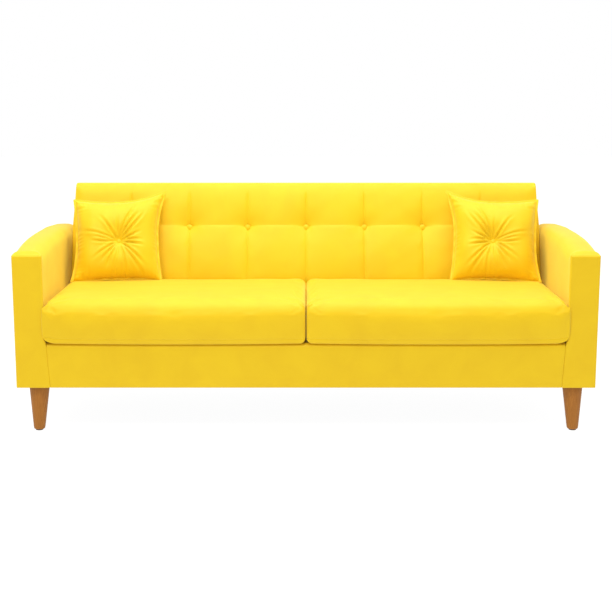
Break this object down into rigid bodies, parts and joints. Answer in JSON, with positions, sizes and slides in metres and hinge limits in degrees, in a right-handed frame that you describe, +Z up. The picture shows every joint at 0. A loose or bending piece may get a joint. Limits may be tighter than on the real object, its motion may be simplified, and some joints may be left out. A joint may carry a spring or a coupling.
{
  "type": "sofa",
  "caption": "Upholstered box-arm sofa with loose seat cushions, button-tufted back, throw pillows and round tapered wooden legs.",
  "frame": {"origin": "on the floor under the middle of the sofa", "axes": "+X to the right as seen from the front, +Y towards the back, +Z up"},
  "size_m": [2.1, 0.81, 0.845],
  "materials": {
    "yellow_velvet": "matte",
    "timber": "matte",
    "plywood": "matte",
    "hardboard": "matte",
    "foam": "matte",
    "fibre_filling": "matte",
    "spring_steel": "satin",
    "clip_steel": "satin",
    "zinc_steel": "satin",
    "webbing": "matte",
    "twine": "matte",
    "dust_cloth": "matte",
    "leg_wood": "satin",
    "glide_plastic": "matte",
    "zip_tape": "matte",
    "zip_metal": "satin"
  },
  "bodies": {
    "sofa": {"seat_front_rail": "timber", "seat_rear_rail": "timber", "seat_end_rail_left": "timber", "seat_end_rail_right": "timber", "seat_cross_rails": "timber", "corner_blocks": "timber", "seat_springs": "spring_steel", "spring_clips": "clip_steel", "seat_deck_pad": "foam", "arm_left_front_post": "timber", "arm_left_rear_post": "timber", "arm_left_rails": "timber", "arm_left_side_boards": "hardboard", "arm_left_foam": "foam", "arm_left_cover": "yellow_velvet", "arm_right_front_post": "timber", "arm_right_rear_post": "timber", "arm_right_rails": "timber", "arm_right_side_boards": "hardboard", "arm_right_foam": "foam", "arm_right_cover": "yellow_velvet", "back_upright_left": "plywood", "back_upright_right": "plywood", "back_centre_uprights": "plywood", "back_top_rail": "timber", "back_lower_rail": "timber", "back_webbing": "webbing", "back_foam": "foam", "inside_back_cover": "yellow_velvet", "back_buttons": "yellow_velvet", "button_twines": "twine", "outside_back_board": "hardboard", "outside_back_cover": "yellow_velvet", "front_rail_foam": "foam", "front_rail_cover": "yellow_velvet", "dust_cover": "dust_cloth", "staples": "zinc_steel", "leg_front_left": "leg_wood", "leg_front_right": "leg_wood", "leg_rear_left": "leg_wood", "leg_rear_right": "leg_wood", "leg_studs": "zinc_steel", "leg_plates": "zinc_steel", "leg_plate_screws": "zinc_steel", "leg_glides": "glide_plastic", "frame_bolts": "zinc_steel"},
    "zip_pull_left": {"seat_cushion_left_zip_pull": "zip_metal"},
    "throw_pillow_left": {"throw_pillow_left_cover": "yellow_velvet", "throw_pillow_left_fill": "fibre_filling", "throw_pillow_left_buttons": "yellow_velvet"},
    "seat_cushion_left": {"seat_cushion_left_cover": "yellow_velvet", "seat_cushion_left_foam": "foam", "seat_cushion_left_zip": "zip_tape"},
    "zip_pull_right": {"seat_cushion_right_zip_pull": "zip_metal"},
    "throw_pillow_right": {"throw_pillow_right_cover": "yellow_velvet", "throw_pillow_right_fill": "fibre_filling", "throw_pillow_right_buttons": "yellow_velvet"},
    "seat_cushion_right": {"seat_cushion_right_cover": "yellow_velvet", "seat_cushion_right_foam": "foam", "seat_cushion_right_zip": "zip_tape"}
  },
  "joints": [
    {"name": "seat_cushion_left_lift", "type": "slide", "parent": "sofa", "child": "seat_cushion_left", "axis": [0, 0, 1], "range_m": [0, 0.35]},
    {"name": "throw_pillow_left_lift", "type": "slide", "parent": "seat_cushion_left", "child": "throw_pillow_left", "axis": [0, 0, 1], "range_m": [0, 0.4]},
    {"name": "zip_pull_left_slide", "type": "slide", "parent": "seat_cushion_left", "child": "zip_pull_left", "axis": [-1, 0, 0], "range_m": [0, 0.68]},
    {"name": "seat_cushion_right_lift", "type": "slide", "parent": "sofa", "child": "seat_cushion_right", "axis": [0, 0, 1], "range_m": [0, 0.35]},
    {"name": "throw_pillow_right_lift", "type": "slide", "parent": "seat_cushion_right", "child": "throw_pillow_right", "axis": [0, 0, 1], "range_m": [0, 0.4]},
    {"name": "zip_pull_right_slide", "type": "slide", "parent": "seat_cushion_right", "child": "zip_pull_right", "axis": [1, 0, 0], "range_m": [0, 0.68]}
  ]
}
